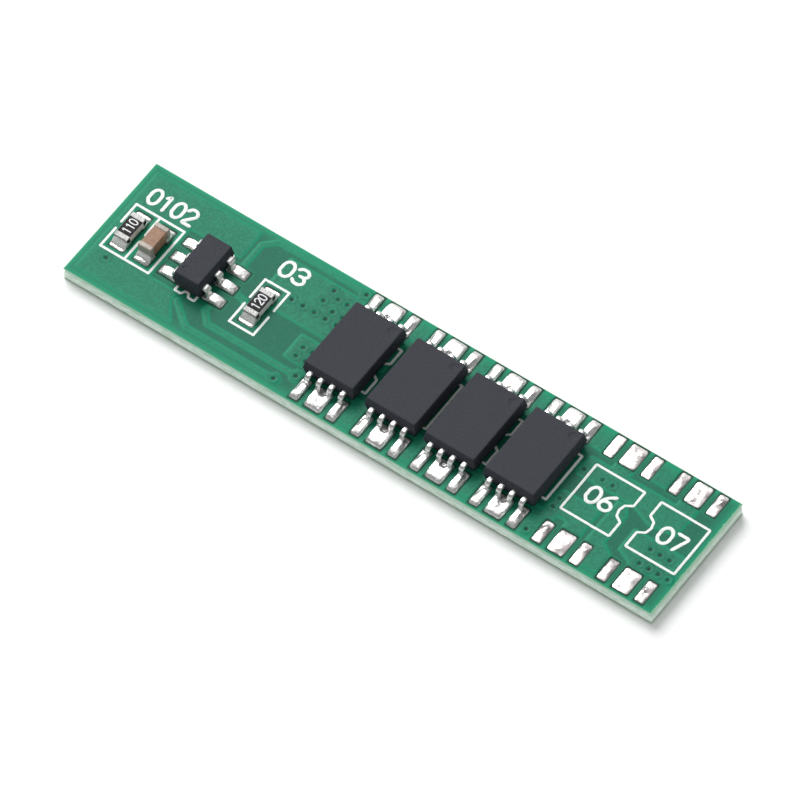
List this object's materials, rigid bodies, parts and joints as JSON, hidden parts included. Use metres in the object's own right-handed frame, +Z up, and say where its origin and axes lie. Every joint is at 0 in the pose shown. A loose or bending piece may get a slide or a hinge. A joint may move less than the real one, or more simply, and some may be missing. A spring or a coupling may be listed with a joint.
{
  "type": "battery management board",
  "caption": "Narrow green circuit board with a small controller chip, a row of power transistors, chip resistors, a chip capacitor and bare tinned pads.",
  "frame": {"origin": "middle of the board in plan, on the plane of the three terminal pads under it", "axes": "+X along the board from the controller end to the unfitted end, +Y across it, +Z up out of the component side"},
  "size_m": [0.0342, 0.0074, 0.002],
  "materials": {
    "laminate": "pale glass-epoxy, cut edge",
    "copper": "bare copper under the mask",
    "solder_mask": "green, semi-gloss",
    "legend_ink": "white print",
    "tin_plate": "hot-levelled tin",
    "moulding": "moulded epoxy, fine matt texture",
    "lead_plate": "matt tin on copper alloy",
    "solder": "bright reflowed solder",
    "alumina": "white alumina",
    "resistor_glaze": "black glaze",
    "chip_plate": "tin over nickel",
    "capacitor_ceramic": "brown fired ceramic"
  },
  "bodies": {
    "root": {"laminate": "laminate", "copper_top": "copper", "copper_bottom": "copper", "solder_mask_top": "solder_mask", "solder_mask_bottom": "solder_mask", "via_barrels": "copper", "printed_outlines": "legend_ink", "positive_terminal": "tin_plate", "battery_negative_terminal": "tin_plate", "load_negative_terminal": "tin_plate", "controller_body": "moulding", "controller_leads": "lead_plate", "controller_solder": "solder", "mosfet_1_body": "moulding", "mosfet_1_leads": "lead_plate", "mosfet_1_solder": "solder", "mosfet_2_body": "moulding", "mosfet_2_leads": "lead_plate", "mosfet_2_solder": "solder", "mosfet_3_body": "moulding", "mosfet_3_leads": "lead_plate", "mosfet_3_solder": "solder", "mosfet_4_body": "moulding", "mosfet_4_leads": "lead_plate", "mosfet_4_solder": "solder", "resistor_1_substrate": "alumina", "resistor_1_overcoat": "resistor_glaze", "resistor_1_terminals": "chip_plate", "resistor_1_solder": "solder", "resistor_2_substrate": "alumina", "resistor_2_overcoat": "resistor_glaze", "resistor_2_terminals": "chip_plate", "resistor_2_solder": "solder", "capacitor_ceramic_body": "capacitor_ceramic", "capacitor_end_caps": "chip_plate", "capacitor_solder": "solder", "spare_1_tinned_pads": "solder", "spare_2_tinned_pads": "solder"}
  },
  "joints": []
}
